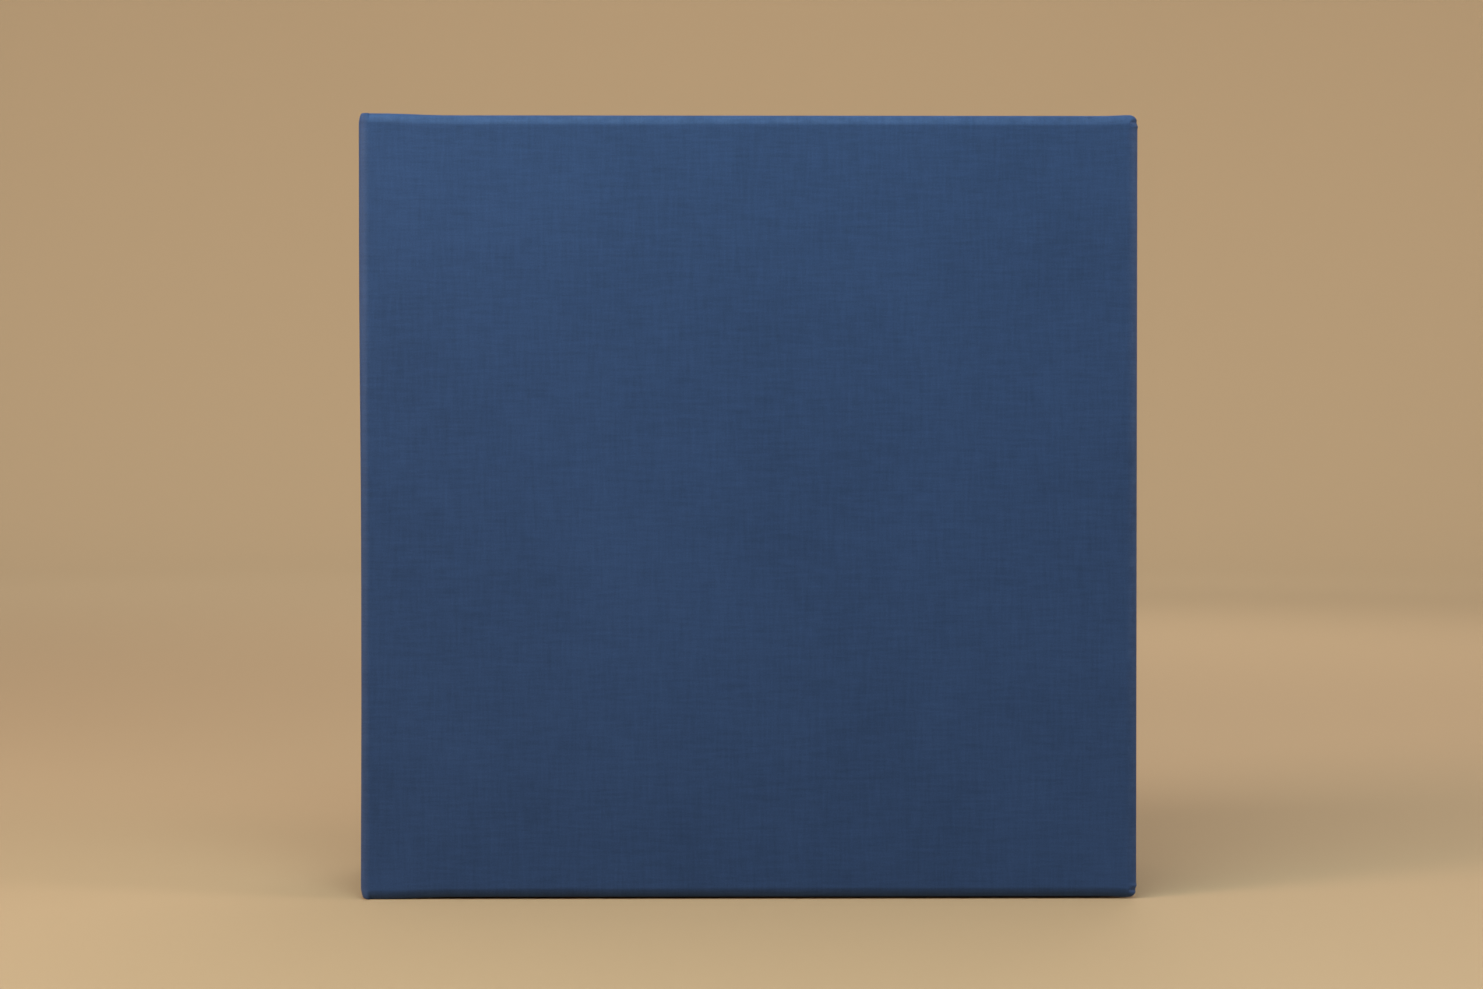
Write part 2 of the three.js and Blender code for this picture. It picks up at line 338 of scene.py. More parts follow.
SPINE_SWELL = 0.7 * MM  # the spine swells out by head and tail, and stays straight in the middle
TAIL_SWELL_SHARE = 0.45
HEAD_SWELL = (0.15 * (HEAD - TAIL), 0.6 * (HEAD - TAIL))
TAIL_SWELL = (0, 0.275 * (HEAD - TAIL))
HEEL_LIFT = 0.8 * MM  # the spine's tail is rounded off by use
HEEL_FROM_END = (1 * MM, 8 * MM)

TUCK_DEPTH = 0.65 * MM  # the groove where a corner's cloth is folded under, and the ridge beside it
TUCK_RIDGE = 0.35 * MM
TUCK_ALONG = 3.3 * MM  # the groove's distance from the corner, along the fore-edge
TUCK_WIDTH = 0.8 * MM
RIDGE_ALONG = TUCK_ALONG + 1.8 * TUCK_WIDTH
RIDGE_SPREAD = 1.2 * TUCK_WIDTH
TUCK_SLANT = 0.8  # how much of it goes into the thickness, for one part across the face
TUCK_FROM_FORE_EDGE = (0.35 * RIM_ACROSS, 0.95 * RIM_ACROSS)
TUCK_REACH = 0.6 * COVER  # the tuck fades in over this much of a cover's thickness, from inside to out


def near(distance, reach):
    """1 within a pair's first distance, falling to 0 at its second."""
    return 1 - smoothstep(*reach, distance)


def settle(points):
    """Moves the case's cloth a little: proud corners and a swollen spine, tucks at the fore-edge."""
    x, y, z = points[..., 0], points[..., 1], points[..., 2]
    by_head = z > (HEAD + TAIL) / 2
    from_end = np.minimum(z - TAIL, HEAD - z)
    on_spine = near(x - LEFT, (0, JOINT_RADIUS))

    proud = near(x - LEFT, PROUD_FROM_SPINE) * np.where(by_head, PROUD_HEAD, PROUD_TAIL)
    proud = proud + near(RIGHT - x, PROUD_FROM_FORE_EDGE) * PROUD_FOLD
    lift = np.where(by_head, 1, -1) * near(from_end, PROUD_FROM_END) * proud
    lift = lift + HEEL_LIFT * on_spine * near(z - TAIL, HEEL_FROM_END)

    ends = near(HEAD - z, HEAD_SWELL) + TAIL_SWELL_SHARE * near(z - TAIL, TAIL_SWELL)
    swell = SPINE_SWELL * on_spine * ends

    groove = TUCK_DEPTH * bell(from_end, TUCK_ALONG, TUCK_WIDTH)
    ridge = TUCK_RIDGE * bell(from_end, RIDGE_ALONG, RIDGE_SPREAD)
    on_outside = np.clip((np.abs(y) - (BACK - COVER)) / TUCK_REACH, 0, 1)
    tuck = (ridge - groove) * near(RIGHT - x, TUCK_FROM_FORE_EDGE) * on_outside
    return np.stack([x - swell + tuck, y + np.sign(y) * TUCK_SLANT * tuck, z + lift], axis=-1)


# ---- The case's cloth ----------------------------------------------------------------------------

# Girth is the distance along the cloth from front to back. It is x on the front cover and falls round
# the spine, so the weave runs on over the joints. A mirrored patch's girth is taken from GIRTH_AT_BACK.
JOINT_GIRTH = math.pi / 2 * JOINT_RADIUS
SPINE_REACH = BACK - JOINT_RADIUS  # the spine board reaches this far each way from the middle
GIRTH_AT_BACK = 2 * BOARD_LEFT - 2 * JOINT_GIRTH - 2 * SPINE_REACH
JOINT_WEAR = 0.35


def cover_patches():
    """The front cover's cloth: its face, and a rim that runs round tail, fore-edge and head."""
    outline = Outline(BOARD_LEFT, RIGHT, TAIL, HEAD, CORNER_RADIUS, FACE_EDGE, FACE_STEP)
    across, up = np.meshgrid(outline.across, outline.up)
    face_points = np.stack([across, np.full_like(across, FRONT), up], axis=-1)
    face = Patch(face_points, np.stack([across, up], axis=-1))
    profile = rim_profile()
    along = run_along(profile)
    start, _ = outline.ring(FACE_EDGE)
    points, uv = [], []
    for (inset, depth), distance in zip(profile, along):
        ring, outward = outline.ring(inset)
        points.append(np.stack([ring[:, 0], np.full(len(ring), FRONT + depth), ring[:, 1]], axis=1))
        uv.append(np.where(outward == 0, ring, start) + distance * outward)
    points = np.array(points)
    rim = Patch(points, uv, rim_wear_and_highlight(profile, points[0, :, 2]))
    return [face.moved(settle), rim.moved(settle)]


def spine_patches():
    """The spine cover's cloth: a face between the joints, turned in at head and tail."""
    across = steps(-SPINE_REACH, SPINE_REACH, FACE_STEP)
    profile = rim_profile(of_spine=1)
    lap = run_along(profile)
    inner = steps(TAIL + FACE_EDGE, HEAD - FACE_EDGE, FACE_STEP)
    tail_rows = [(TAIL + inset, depth, TAIL + FACE_EDGE - s) for (inset, depth), s in zip(profile, lap)]
    head_rows = [(HEAD - inset, depth, HEAD - FACE_EDGE + s) for (inset, depth), s in zip(profile, lap)]
    rows = np.array(tail_rows[::-1] + [(z, 0, z) for z in inner[1:-1]] + head_rows)
    shape = (len(rows), len(across))
    height, depth, along = (np.broadcast_to(rows[:, i : i + 1], shape) for i in range(3))
    y = np.broadcast_to(across, shape)
    points = np.stack([LEFT + depth, y, height], axis=-1)
    girth = BOARD_LEFT - JOINT_GIRTH - (y + SPINE_REACH)
    # the spine's end rims, painted pale for rubbing and as a painted highlight, both ends taking the
    # tail's lower share
    rubbed_and_highlighted = rim_wear_and_highlight(profile, np.full(len(across), TAIL))
    wear_and_highlight = np.concatenate([rubbed_and_highlighted[::-1], np.zeros((len(inner) - 2, len(across))), rubbed_and_highlighted])
    return [Patch(points, np.stack([girth, along], axis=-1), wear_and_highlight).moved(settle)]


def groove_weight(share):
    """1 at a joint's ends, beside the boards, falling to 0 in its middle."""
    return abs(2 * share - 1) ** GROOVE_STEEPNESS


def joint_shares(columns=41, crowding=1.6):
    """Places across a joint from the spine board, 0, to the front board, 1, closer in the middle."""
    u = np.linspace(-1, 1, columns)
    return 0.5 + 0.5 * np.sign(u) * np.abs(u) ** crowding


def joint_point(share, depth, height):
    """A point in the front joint: a share of the way round its bend and a depth from its outer surface."""
    angle = math.pi + share * math.pi / 2
    radius = JOINT_RADIUS - depth
    middle_y = FRONT + JOINT_RADIUS
    return (BOARD_LEFT + radius * math.cos(angle), middle_y + radius * math.sin(angle), height)


def joint_wear(height, depth):
    """How rubbed a joint is: all along, and most on the outside of its head and tail."""
    at_end = min(HEAD - height, height - TAIL) < FACE_EDGE
    return 1.0 if at_end and depth < 0.3 * RIM_DEEP else JOINT_WEAR


def joint_patch():
    """The front joint's cloth: a bend between the boards, folded double at head and tail.

    Each column is a closed loop: up the outside, over the head, down the inside and round the tail.
    """
    heights = steps(TAIL + FACE_EDGE, HEAD - FACE_EDGE, FACE_STEP)
    columns, uvs, wear_and_highlight_values = [], [], []
    for share in joint_shares():
        profile = rim_profile(groove_weight(share), of_spine=1 - share)
        lap = run_along(profile)
        inner_depth = profile[-1, 1] - CLOTH - GLUE
        outside = [(z, 0.0, z) for z in heights[1:-1]]
        head = [(HEAD - w, e, HEAD - FACE_EDGE + s) for (w, e), s in zip(profile, lap)]
        inside = [(z, inner_depth, z) for z in steps(HEAD - TURN_IN, TAIL + TURN_IN, 4 * FACE_STEP)]
        tail = [(TAIL + w, e, TAIL + FACE_EDGE - s) for (w, e), s in zip(profile, lap)]
        loop = outside + head + inside + tail[::-1]
        loop.append(loop[0])
        columns.append([joint_point(share, depth, z) for z, depth, _ in loop])
        girth = BOARD_LEFT - (1 - share) * JOINT_GIRTH
        uvs.append([(girth, v) for _, _, v in loop])
        wear_and_highlight_values.append([joint_wear(z, depth) for z, depth, _ in loop])
    points = np.array(columns).transpose(1, 0, 2)
    uv = np.array(uvs).transpose(1, 0, 2)
    return Patch(points, uv, np.array(wear_and_highlight_values).T).moved(settle)


# ---- Hinge cloth, inside the case ----------------------------------------------------------------

LINING_LOW, LINING_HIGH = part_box("spine_lining")
FLANGE_LOW, FLANGE_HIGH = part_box("front_hinge_flange")
LINING_STEP = 1.2 * MM  # the lining climbs over the turn-ins within this height
LINING_RAISED = CLOTH + GLUE
LINING_CLEAR = 3 * MM  # and its mesh is coarse from this far past the turn-ins
SILL = 0.35 * MM  # the groove's cloth turns onto a board this far in from the board's edge


def lining_rows():
    """Heights of the hinge cloth's rows, closer where it climbs over the turn-ins."""
    low, high = LINING_LOW.z, LINING_HIGH.z
    climb = np.linspace(TURN_IN - LINING_STEP, TURN_IN + LINING_STEP, CLIMB_ROWS)
    plain = TURN_IN + LINING_CLEAR
    middle = steps(TAIL + plain, HEAD - plain, 2 * FACE_STEP)
    ends = (low, (low + TAIL + TURN_IN) / 2)
    return np.concatenate(
        [ends, TAIL + climb, middle, HEAD - climb[::-1], (HEAD - (ends[1] - TAIL), high)]
    )


def lining_rise(z):
    """How much the hinge cloth stands up where it passes over the covers' turn-ins."""
    from_end = np.minimum(z - TAIL, HEAD - z)
    return LINING_RAISED * (1 - smoothstep(TURN_IN - LINING_STEP, TURN_IN + LINING_STEP, from_end))


def spine_lining_patch():
    across = steps(-SPINE_REACH, SPINE_REACH, FACE_STEP)
    y, z = np.meshgrid(across, lining_rows())
    points = np.stack([LEFT + COVER + lining_rise(z), y, z], axis=-1)
    return Patch(points, np.stack([y, z], axis=-1))


def hinge_patches():
    """The front hinge cloth: from the spine lining through the groove onto the front board."""
    rows = lining_rows()
    shares = joint_shares()
    inside = [JOINT_THICK + (COVER - JOINT_THICK) * groove_weight(share) for share in shares]
    groove = [[joint_point(s, d + lining_rise(z), z) for s, d in zip(shares, inside)] for z in rows]
    sill_x = np.full(len(rows), BOARD_LEFT + SILL)
    sill = np.stack([sill_x, FRONT + COVER + lining_rise(rows), rows], axis=-1)
    strip = np.concatenate([groove, sill[:, None]], axis=1)
    run = run_along(strip[len(rows) // 2])
    u, v = np.meshgrid(run, rows)
    flange_rows = rows[(rows > FLANGE_LOW.z) & (rows < FLANGE_HIGH.z)]
    flange_step = FACE_STEP / 2
    flange_x = steps(BOARD_LEFT + flange_step, FLANGE_HIGH.x, flange_step)
    flange_x = np.concatenate([[BOARD_LEFT + SILL], flange_x])
    x, z = np.meshgrid(flange_x, flange_rows)
    flange = np.stack([x, FRONT + COVER + lining_rise(z), z], axis=-1)
    flange_uv = np.stack([x - flange_x[0] + run[-1], z], axis=-1)
    return [Patch(strip, np.stack([u, v], axis=-1)), Patch(flange, flange_uv)]


# ---- Trays ---------------------------------------------------------------------------------------

TRAY_CORNER = 1.5 * MM
TIP_ROUND = 0.9 * MM
TIP_STARTS = 1.6  # a row deeper than this many times a wall's mean row is at its tip
END_ROUND = 0.6 * MM


def inwards_from(face):
    """The way into the box from a cover's outer face, along Y."""
    return 1 if face < 0 else -1


def depths(low, high, face):
    """How far a box's two sides lie from a cover's outer face, the nearer first."""
    return sorted((abs(low.y - face), abs(high.y - face)))


def wall_profile(wall, underside, tip, floor):
    """A tray wall's cloth in section, as (inset from the outside, depth): up, over the tip and down."""
    bend = np.linspace(0, math.pi / 2, TIP_ROWS)
    outer = [(0, d) for d in (underside, (underside + tip) / 2)]
    outer_tip = [(TIP_ROUND * (1 - math.cos(a)), tip - TIP_ROUND * (1 - math.sin(a))) for a in bend]
    inner_tip = [(wall - w, d) for w, d in outer_tip[::-1]]
    inner = [(wall, d) for d in ((floor + tip) / 2, floor)]
    return np.array(outer + outer_tip + inner_tip + inner)


def tray_patch(node, wall, floor_depth, face):
    """A tray's wall cloth, on the front board for face = FRONT, swept round tail, fore-edge and head.

    The two ends of the sweep, at the tray's open side, are rounded over.
    """
    low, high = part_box(node)
    inwards = inwards_from(face)
    profile = wall_profile(wall, *depths(low, high, face), floor_depth)
    tip_starts = TIP_STARTS * np.mean(profile[:, 1])
    outline = Outline(low.x, high.x, low.z, high.z, TRAY_CORNER, wall, 2 * FACE_STEP)
    path, _ = outline.ring(0)
    lengths = run_along(path)
    end_angles = np.linspace(0, math.pi / 2, BEND_ROWS)[1:]
    lead = np.linspace(-len(end_angles), -1, len(end_angles)) * END_ROUND / 2
    along = np.concatenate([lead, lengths, lengths[-1] - lead[::-1]])
    rows, uvs = [], []
    for (inset, depth), distance in zip(profile, run_along(profile)):
        ring, _ = outline.ring(inset)
        full = np.array([(x, face + inwards * depth, z) for x, z in ring])
        full[[0, -1], 0] += END_ROUND
        to_middle = np.sign(wall / 2 - inset)
        ends = []
        for angle in end_angles:
            shrink = END_ROUND * (1 - math.cos(angle))
            x = low.x + END_ROUND * (1 - math.sin(angle))
            lowered = depth - shrink if depth > tip_starts else depth
            ends.append((x, face + inwards * lowered, inset + shrink * to_middle))
        tail_end = [(x, y, low.z + w) for x, y, w in ends[::-1]]
        head_end = [(x, y, high.z - w) for x, y, w in ends]
        rows.append(np.concatenate([tail_end, full, head_end]))
        uvs.append(np.stack([along, np.full(len(along), distance)], axis=1))
    return Patch(np.array(rows), np.array(uvs))


PAPER = 0.2 * MM
PAPER_MARGIN = 0.3 * MM  # from the walls' cloth
PAPER_SHORT = 2.6 * MM  # the paper stops this far from the floor's open edge
EDGE_LAP = 13 * MM  # the edge strip runs this far in, under the paper
EDGE_ROUND = 0.5 * MM
PAPER_STEP = 1.5 * MM  # the paper comes down off the strip within this length


def across_floor(section, lining_low, lining_high, face):
    """A patch with one section, of (x, depth) points, carried from the tail wall to the head wall."""
    section = np.array(section)
    inwards = inwards_from(face)
    heights = steps(lining_low.z, lining_high.z, 4 * FACE_STEP)
    points = np.array([[(x, face + inwards * depth, z) for x, depth in section] for z in heights])
    along, z = np.meshgrid(run_along(section), heights)
    return Patch(points, np.stack([along, z], axis=-1))


def edge_patch(floor_left, floor_near, floor_depth, lining_low, lining_high, face):
    """The cloth strip round a tray floor's open edge: up the edge, and in over the floor."""
    outside = floor_left - GLUE - CLOTH
    top = floor_depth + GLUE + CLOTH
    bend = np.linspace(0, math.pi / 2, EDGE_ROWS)
    corner = np.stack([1 - np.cos(bend), np.sin(bend) - 1], axis=1) * EDGE_ROUND + (outside, top)
    section = [(outside, floor_near), *corner, (outside + EDGE_LAP / 2, top), (outside + EDGE_LAP, top)]
    return across_floor(section, lining_low, lining_high, face)


def paper_patch(floor_left, floor_depth, lining_low, lining_high, face):
    """A tray's lining paper, on the floor and up over the edge strip."""
    strip_end = floor_left - GLUE - CLOTH + EDGE_LAP
    on_strip = steps(floor_left + PAPER_SHORT, strip_end - PAPER_STEP, FACE_STEP / 2)
    fall = np.linspace(strip_end - PAPER_STEP, strip_end + PAPER_STEP, CLIMB_ROWS)[1:]
    on_floor = steps(strip_end + PAPER_STEP, lining_high.x, 4 * FACE_STEP)[1:]
    x = np.concatenate([on_strip, fall, on_floor])
    raised = (CLOTH + GLUE) * (1 - smoothstep(strip_end, strip_end + PAPER_STEP, x))
    section = np.stack([x, floor_depth + GLUE + PAPER + raised], axis=1)
    return across_floor(section, lining_low, lining_high, face)


def first_column(rows, columns):
    """The points that close a sweep's first end, for outward_mesh."""
    return [row * columns for row in range(rows)]


def last_column(rows, columns):
    """The points that close its last end."""
    return [row * columns + columns - 1 for row in range(rows)]


# ---- Materials -----------------------------------------------------------------------------------

# Noise scales are in turns per metre: 900 is a grain of about 1 mm.
WEAVE_PITCH = 0.42 * MM
THREAD_HEIGHT = 0.045 * MM
SLUB_HEIGHT = 0.05 * MM
UNEVEN_HEIGHT = 0.06 * MM  # the slow rise and fall of the cloth over its board
BOARD_HEIGHT = 0.08 * MM
PAPER_HEIGHT = 0.03 * MM
DARKEST, LIGHTEST = 0.72, 1.3  # a cloth's shades, as shares of its colour
WEAR_AND_HIGHLIGHT_SHARE = 0.1  # how much of the pale colour shows where rubbing and painted highlight are full


class Finish:
    """A procedural material under construction, with short ways to add its nodes."""

    def __init__(self, name):
        self.material = bpy.data.materials.new(name)
        self.material.use_nodes = True
        self.tree = self.material.node_tree
        self.shader = self.tree.nodes["Principled BSDF"]

    def node(self, kind, inputs=(), **settings):
        made = self.tree.nodes.new(kind)
        for key, value in settings.items():
            setattr(made, key, value)
        for key, value in dict(inputs).items():
            self.put(made.inputs[key], value)
        return made

    def put(self, socket, value):
        if isinstance(value, bpy.types.NodeSocket):
            self.tree.links.new(value, socket)
        else:
            socket.default_value = value

    def math(self, operation, *values):
        made = self.tree.nodes.new("ShaderNodeMath")
        made.operation = operation
        for socket, value in zip(made.inputs, values):
            self.put(socket, value)
        return made.outputs[0]

    def scaled(self, value, factor):
        return self.math("MULTIPLY", value, factor)

    def total(self, first, *others):
        for value in others:
            first = self.math("ADD", first, value)
        return first

    def noise(self, vector, scale, detail=2.0, roughness=0.5):
        inputs = {"Vector": vector, "Scale": scale, "Detail": detail, "Roughness": roughness}
        return self.node("ShaderNodeTexNoise", inputs).outputs[0]

    def stretched(self, vector, scale):
        inputs = {0: vector, 1: scale}
        return self.node("ShaderNodeVectorMath", inputs, operation="MULTIPLY").outputs[0]

    def remap(self, value, low, high, out_low=0.0, out_high=1.0):
        inputs = {"Value": value, "From Min": low, "From Max": high, "To Min": out_low, "To Max": out_high}
        return self.node("ShaderNodeMapRange", inputs).outputs[0]

    def spread(self, noise, amount):
        """Noise, which lies mostly between 0.3 and 0.7, as plus or minus an amount."""
        return self.remap(noise, 0.3, 0.7, -amount, amount)

    def mix(self, factor, first, second):
        made = self.node("ShaderNodeMix", data_type="RGBA")
        sockets = (made.inputs[0], made.inputs[6], made.inputs[7])  # the factor and the two colours
        for socket, value in zip(sockets, (factor, first, second)):
            self.put(socket, value)
        return made.outputs[2]

    def surface(self, color, roughness, height, **uniform):
        bump = self.node("ShaderNodeBump", {"Height": height, "Distance": 1.0, "Strength": 1.0})
        self.put(self.shader.inputs["Base Color"], color)
        self.put(self.shader.inputs["Roughness"], roughness)
        self.put(self.shader.inputs["Normal"], bump.outputs[0])
        for key, value in uniform.items():
            self.put(self.shader.inputs[key.replace("_", " ")], value)
        return self.material


def linear(red, green, blue):
    """A colour given in the usual 0 to 255 display values, as the shader wants it."""

    def one(value):
        share = value / 255
        return share / 12.92 if share <= 0.04045 else ((share + 0.055) / 1.055) ** 2.4

    return (one(red), one(green), one(blue), 1.0)


def weave_of(finish, uv, place):
    """How high a plain weave stands: 1 on top of a thread, 0 between two."""
    parts = finish.node("ShaderNodeSeparateXYZ", {0: uv})
    wander = finish.scaled(finish.noise(place, 90.0), 1.2)
    waves = []
    for axis in (0, 1):
        turns = finish.scaled(parts.outputs[axis], math.pi / WEAVE_PITCH)
        waves.append(finish.math("SINE", finish.total(turns, wander)))
    warp, weft = (finish.math("ABSOLUTE", wave) for wave in waves)
    over = finish.remap(finish.math("MULTIPLY", *waves), -0.3, 0.3)
    under = finish.math("SUBTRACT", 1.0, over)
    return finish.total(finish.scaled(warp, over), finish.scaled(weft, under))


def book_cloth(name, color, pale, seed, gloss):
    """Plain-woven book cloth: a weave with painted shade in its gaps and painted light on each thread's
    top, slubs, uneven dye, and rims painted pale for rubbing and as a painted highlight.
    """
    finish = Finish(name)
    uv = finish.node("ShaderNodeUVMap", uv_map="UVMap").outputs[0]
    shift = {0: uv, 1: (seed, 2 * seed, seed)}
    place = finish.node("ShaderNodeVectorMath", shift, operation="ADD").outputs[0]
    weave = weave_of(finish, uv, place)
    slub_across = finish.noise(finish.stretched(place, (90.0, 900.0, 1.0)), 1.0, 3.0)
    slub_up = finish.noise(finish.stretched(place, (1000.0, 80.0, 1.0)), 1.0, 3.0)
    slubs = finish.total(finish.scaled(slub_across, 0.55), finish.scaled(slub_up, 0.45))
    dye = finish.noise(place, 14.0, 4.0, 0.6)
    fuzz = finish.noise(place, 1700.0)
    # painted shade in the gaps of the weave and painted light on each raised thread
    thread_shade_and_light = finish.remap(weave, 0.0, 1.0, -0.22, 0.16)
    tone = finish.total(finish.spread(slubs, 0.3), finish.spread(dye, 0.16))
    tone = finish.total(tone, thread_shade_and_light, finish.spread(fuzz, 0.22))
    dark, light = (tuple(c * share for c in color[:3]) + (1.0,) for share in (DARKEST, LIGHTEST))
    dyed = finish.mix(finish.remap(tone, -0.6, 0.6), dark, light)

    wear_and_highlight = finish.node("ShaderNodeAttribute", attribute_name="wear_and_highlight").outputs["Fac"]
    patchy = finish.remap(finish.noise(place, 260.0, 3.0), 0.35, 0.7)
    # pale where the cloth is rubbed, and on the rims' ridges also as a painted highlight, less by the tail
    # as painted shade
    shade = finish.mix(finish.scaled(finish.scaled(wear_and_highlight, patchy), WEAR_AND_HIGHLIGHT_SHARE), dyed, pale)

    uneven = finish.noise(place, 120.0, 3.0)
    heights = ((weave, THREAD_HEIGHT), (slubs, SLUB_HEIGHT), (uneven, UNEVEN_HEIGHT))
    height = finish.total(*(finish.scaled(value, top) for value, top in heights))
    roughness = finish.remap(fuzz, 0.2, 0.8, 0.40, 0.50)
    return finish.surface(
        shade, roughness, height,
        Specular_IOR_Level=gloss, Specular_Tint=(0.55, 0.78, 1.0, 1.0),
        Sheen_Weight=0.05, Sheen_Roughness=0.45, Sheen_Tint=(0.35, 0.55, 1.0, 1.0),
    )


def binders_board(name):
    """Grey board pressed from mixed fibre, with darker and paler flecks."""
    finish = Finish(name)
    place = finish.node("ShaderNodeTexCoord").outputs["Object"]
    cloud = finish.noise(place, 60.0, 5.0)
    fleck = finish.noise(finish.stretched(place, (600.0, 600.0, 1800.0)), 1.0, 3.0)
    tone = finish.total(finish.spread(cloud, 0.25), finish.spread(fleck, 0.3))
    shade = finish.mix(finish.remap(tone, -0.5, 0.5), linear(108, 102, 92), linear(150, 143, 130))
    roughness = finish.remap(cloud, 0.3, 0.7, 0.85, 0.97)
    return finish.surface(shade, roughness, finish.scaled(fleck, BOARD_HEIGHT), Specular_IOR_Level=0.2)


def lining_paper(name):
    """Uncoated archival paper, off-white, with soft cloudy formation and short fibres."""
    finish = Finish(name)
    place = finish.node("ShaderNodeTexCoord").outputs["Object"]
    cloud = finish.noise(place, 45.0, 3.0)
    fibre = finish.noise(finish.stretched(place, (500.0, 900.0, 1400.0)), 1.0, 4.0)
    tone = finish.total(finish.spread(cloud, 0.14), finish.spread(fibre, 0.16))
    shade = finish.mix(finish.remap(tone, -0.5, 0.5), linear(206, 199, 185), linear(222, 216, 203))
    roughness = finish.remap(fibre, 0.3, 0.7, 0.8, 0.92)
    return finish.surface(shade, roughness, finish.scaled(fibre, PAPER_HEIGHT), Specular_IOR_Level=0.25)


NAVY = linear(36, 55, 87)
# the pale colour of rubbing and of the painted highlight on the rims
NAVY_WEAR_AND_HIGHLIGHT = linear(84, 108, 144)
cover_cloth = book_cloth("cover_cloth", NAVY, NAVY_WEAR_AND_HIGHLIGHT, 0.31, gloss=0.14)
hinge_cloth = book_cloth("hinge_cloth", linear(32, 52, 84), NAVY_WEAR_AND_HIGHLIGHT, 0.77, gloss=0.06)
tray_cloth = book_cloth("tray_cloth", NAVY, NAVY_WEAR_AND_HIGHLIGHT, 0.53, gloss=0.05)
board = binders_board("binders_board")
paper = lining_paper("lining_paper")


# ---- Pieces --------------------------------------------------------------------------------------


def dress_boards():
    """Gives every CAD board and tray wall its finish."""
    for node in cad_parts.values():
        node.data.materials.clear()
        node.data.materials.append(board)


def add_covers(joints):
    cover = cover_patches()
    front = new_piece("front_cover", outward_mesh("front_cover", cover, (0, -1, 0)), cover_cloth, CLOTH)
    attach(front, "lid")
    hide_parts("front_cover_cloth")
    mirrored = [patch.mirrored(GIRTH_AT_BACK) for patch in cover]
    back = new_piece("back_cover", outward_mesh("back_cover", mirrored, (0, 1, 0)), cover_cloth, CLOTH)
    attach(back, "base")
    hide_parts("back_cover_cloth")
    spine_mesh = outward_mesh("spine_cover", spine_patches(), (-1, 0, 0))
    spine = new_piece("spine_cover", spine_mesh, cover_cloth, CLOTH)
    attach(spine, "spine")
    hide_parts("spine_cover_cloth")


def add_joints():
    patch = joint_patch()
    front = new_piece("front_joint", outward_mesh("front_joint", [patch], (-1, -1, 0), True), cover_cloth)
    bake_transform(front)
    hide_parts("front_joint_cloth", "spine_front_joint_cloth")
    mirrored = patch.mirrored(GIRTH_AT_BACK)
    back = new_piece("back_joint", outward_mesh("back_joint", [mirrored], (-1, 1, 0), True), cover_cloth)
    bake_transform(back)
    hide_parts("back_joint_cloth", "spine_back_joint_cloth")
    return front, back


HINGE_GIRTH_AT_BACK = 1.0  # metres further along, so that the two hinge cloths' weaves differ


def add_hinge_cloth():
    lining_mesh = outward_mesh("spine_lining_cloth", [spine_lining_patch()], (1, 0, 0))
    lining = new_piece("spine_lining_cloth", lining_mesh, hinge_cloth, CLOTH)
    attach(lining, "spine")
    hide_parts("spine_lining")
    patches = hinge_patches()
    front_mesh = outward_mesh("front_hinge_cloth", patches, (0, 1, 0))
    front = new_piece("front_hinge_cloth", front_mesh, hinge_cloth, CLOTH)
    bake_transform(front)
    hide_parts("front_hinge_flange")
    mirrored = [patch.mirrored(HINGE_GIRTH_AT_BACK) for patch in patches]
    back_mesh = outward_mesh("back_hinge_cloth", mirrored, (0, -1, 0))
    back = new_piece("back_hinge_cloth", back_mesh, hinge_cloth, CLOTH)
    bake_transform(back)
    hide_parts("back_hinge_flange")


def add_tray(tray, body, face):
    """A tray's cloth over its walls, the strip over its floor's open edge, and its lining paper."""
    floor_low, floor_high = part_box(f"{tray}_floor")
    floor_near, floor_depth = depths(floor_low, floor_high, face)
    low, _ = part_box(f"{tray}_cloth")
    lining_low, lining_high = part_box(f"{tray}_lining")
    wall = lining_low.z - low.z - PAPER_MARGIN
    patch = tray_patch(f"{tray}_cloth", wall, floor_depth, face)
    mesh = outward_mesh(f"{tray}_cover", [patch], (1, 0, 0), end_caps=(first_column, last_column))
    cloth = new_piece(f"{tray}_cover", mesh, tray_cloth, CLOTH)
    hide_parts(f"{tray}_cloth")

    edge = edge_patch(floor_low.x, floor_near, floor_depth, lining_low, lining_high, face)
    edge_mesh = outward_mesh(f"{tray}_edge_cloth", [edge], (-1, 0, 0))
    strip = new_piece(f"{tray}_edge_cloth", edge_mesh, tray_cloth, CLOTH)

    sheet = paper_patch(floor_low.x, floor_depth, lining_low, lining_high, face)
    paper_mesh = outward_mesh(f"{tray}_paper", [sheet], (0, inwards_from(face), 0))
    lining = new_piece(f"{tray}_paper", paper_mesh, paper, PAPER)
    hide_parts(f"{tray}_lining")
    for piece in (cloth, strip, lining):
        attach(piece, body)


# ---- Stage ---------------------------------------------------------------------------------------

CAMERA_AWAY = 0.90  # from the front face
CAMERA_HEIGHT = 0.178
CAMERA_ASIDE = -0.008
CAMERA_DOWN = math.radians(0.497)
CAMERA_ASKEW = math.radians(0.308)
LENS = 51.85  # focal length in mm, on Blender's usual 36 mm sensor
WHITE = (1, 1, 1)


def add_camera():
    data = bpy.data.cameras.new("camera")
    data.lens = LENS
    camera = bpy.data.objects.new("camera", data)
    camera.location = (CAMERA_ASIDE, FRONT - CAMERA_AWAY, CAMERA_HEIGHT)
    camera.rotation_euler = (math.pi / 2 - CAMERA_DOWN, 0, -CAMERA_ASKEW)
    bpy.context.scene.collection.objects.link(camera)
    bpy.context.scene.camera = camera


